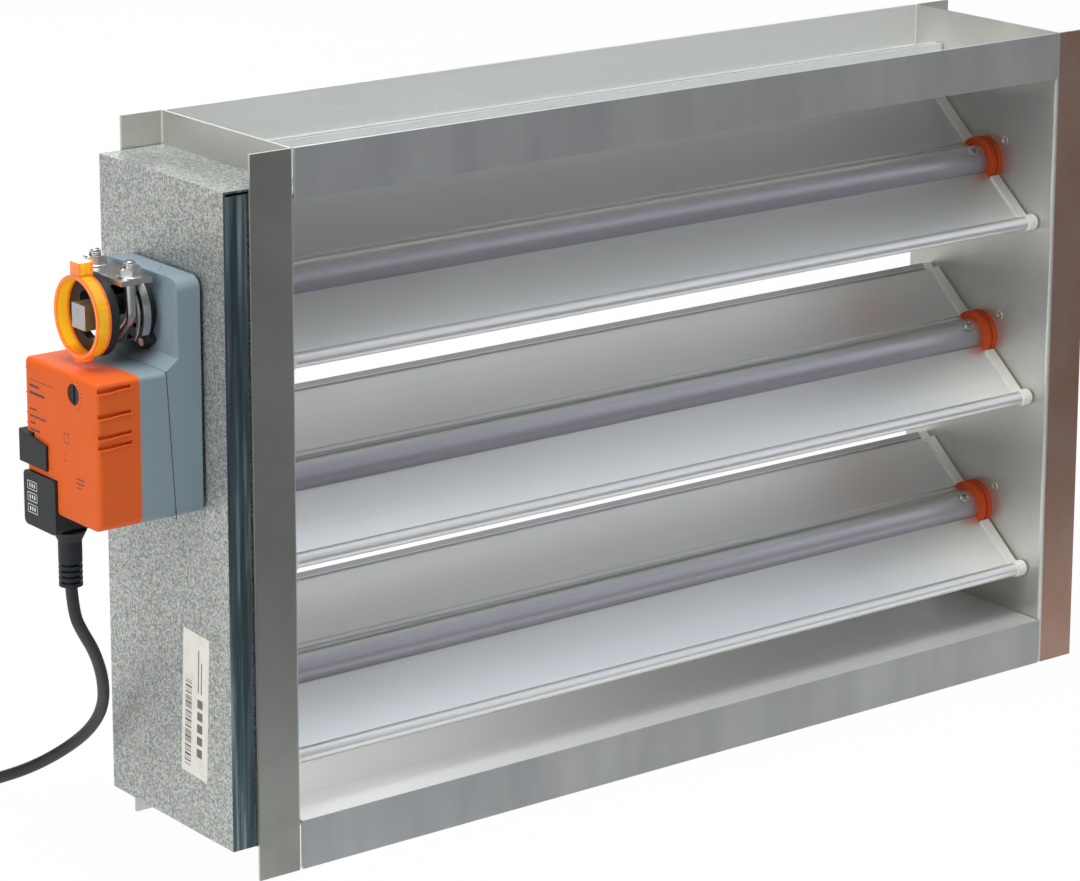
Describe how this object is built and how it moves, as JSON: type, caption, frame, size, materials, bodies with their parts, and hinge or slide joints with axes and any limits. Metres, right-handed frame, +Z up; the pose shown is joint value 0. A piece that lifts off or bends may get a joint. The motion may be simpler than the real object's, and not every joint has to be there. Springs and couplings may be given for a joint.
{
  "type": "motorized control damper",
  "caption": "Rectangular duct damper: channel frame, tilting blades on orange hubs, covered linkage and a clamped rotary actuator with its lead.",
  "frame": {"origin": "middle of the part's footprint without its lead, on the surface that the frame stands on", "axes": "+X from the actuator across the duct, +Y through the duct from its front to its back, +Z up"},
  "size_m": [0.7034, 0.2504, 0.36],
  "materials": {
    "galvanised": "galvanised sheet with a fine spangle",
    "aluminium": "mill finish extrusion",
    "zinc_steel": "bright zinc plated",
    "hub_orange": "moulded, satin",
    "seal_white": "soft moulded, matt",
    "case_grey": "moulded, fine texture",
    "case_orange": "moulded, satin",
    "black_plastic": "moulded, satin",
    "amber": "clear amber, polished",
    "gear_white": "moulded, satin",
    "board_green": "lacquered board",
    "lead_black": "smooth jacket, satin",
    "copper": "tinned strands and ferrules"
  },
  "bodies": {
    "frame": {"top_channel": "aluminium", "bottom_channel": "aluminium", "left_side_plate": "galvanised", "right_side_plate": "galvanised", "frame_screws": "zinc_steel", "left_bushes": "hub_orange", "right_bushes": "hub_orange", "linkage_cover": "galvanised", "cover_screws": "zinc_steel", "stay_pin": "zinc_steel", "actuator_rear_shell": "case_grey", "actuator_front_shell": "case_grey", "actuator_cover": "case_orange", "terminal_cover": "black_plastic", "strain_relief": "black_plastic", "case_screws": "zinc_steel", "circuit_board": "board_green", "gear_plate": "zinc_steel", "motor_body": "zinc_steel", "gear_axles": "zinc_steel", "end_stops": "black_plastic", "end_stop_screws": "zinc_steel", "lead": "lead_black", "lead_coil": "lead_black", "lead_ends": "copper"},
    "top_blade": {"blade_1": "aluminium", "blade_1_hubs": "hub_orange", "blade_1_end_seals": "seal_white", "blade_1_screws": "zinc_steel", "drive_shaft": "zinc_steel", "crank_1": "galvanised", "crank_1_pin": "zinc_steel", "output_gear": "gear_white", "output_hub": "black_plastic", "clamp_saddle": "zinc_steel", "clamp_bolt": "zinc_steel", "clamp_nuts": "zinc_steel", "ring_carrier": "black_plastic", "position_ring": "amber"},
    "middle_blade": {"blade_2": "aluminium", "blade_2_hubs": "hub_orange", "blade_2_end_seals": "seal_white", "blade_2_screws": "zinc_steel", "stub_shaft_2": "zinc_steel", "crank_2": "galvanised", "crank_2_pin": "zinc_steel"},
    "bottom_blade": {"blade_3": "aluminium", "blade_3_hubs": "hub_orange", "blade_3_end_seals": "seal_white", "blade_3_screws": "zinc_steel", "stub_shaft_3": "zinc_steel", "crank_3": "galvanised", "crank_3_pin": "zinc_steel"},
    "tie_bar": {"tie_bar": "galvanised"},
    "first_gear": {"first_gear": "gear_white"},
    "second_gear": {"second_gear": "gear_white"},
    "motor": {"motor_pinion": "zinc_steel"},
    "release_button": {"release_button": "black_plastic"},
    "direction_switch": {"direction_switch": "black_plastic"}
  },
  "joints": [
    {"name": "blade_drive", "type": "hinge", "parent": "frame", "child": "top_blade", "pos_m": [0.03725, -0.0037, 0.281], "axis": [1, 0, 0], "range_deg": [-39.6, 50.4]},
    {"name": "middle_blade_turn", "type": "hinge", "parent": "frame", "child": "middle_blade", "pos_m": [0.03725, -0.0037, 0.181], "axis": [1, 0, 0], "range_deg": [-39.6, 50.4]},
    {"name": "bottom_blade_turn", "type": "hinge", "parent": "frame", "child": "bottom_blade", "pos_m": [0.03725, -0.0037, 0.081], "axis": [1, 0, 0], "range_deg": [-39.6, 50.4]},
    {"name": "tie_bar_swing", "type": "hinge", "parent": "top_blade", "child": "tie_bar", "pos_m": [-0.22705, 0.0263, 0.281], "axis": [1, 0, 0], "range_deg": [-50.4, 39.6]},
    {"name": "first_gear_spin", "type": "hinge", "parent": "frame", "child": "first_gear", "pos_m": [-0.25875, -0.0037, 0.247], "axis": [1, 0, 0], "range_deg": [-235.3, 184.9]},
    {"name": "second_gear_spin", "type": "hinge", "parent": "frame", "child": "second_gear", "pos_m": [-0.26275, 0.00639, 0.23258], "axis": [1, 0, 0], "range_deg": [-492.9, 627.3]},
    {"name": "motor_spin", "type": "hinge", "parent": "frame", "child": "motor", "pos_m": [-0.26575, -0.00379, 0.2224], "axis": [1, 0, 0], "range_deg": [-1881.7, 1478.5]},
    {"name": "button_press", "type": "slide", "parent": "frame", "child": "release_button", "axis": [0, -1, 0], "range_m": [0, 0.003], "stiffness_N_per_m": 400},
    {"name": "direction_turn", "type": "hinge", "parent": "frame", "child": "direction_switch", "pos_m": [-0.30875, -0.0156, 0.2475], "axis": [1, 0, 0], "range_deg": [0, 90]}
  ],
  "couplings": [
    {"joint": "middle_blade_turn", "follows": "blade_drive", "ratio": 1},
    {"joint": "bottom_blade_turn", "follows": "blade_drive", "ratio": 1},
    {"joint": "tie_bar_swing", "follows": "blade_drive", "ratio": -1},
    {"joint": "first_gear_spin", "follows": "blade_drive", "ratio": -4.6667},
    {"joint": "second_gear_spin", "follows": "blade_drive", "ratio": 12.444},
    {"joint": "motor_spin", "follows": "blade_drive", "ratio": -37.333}
  ]
}
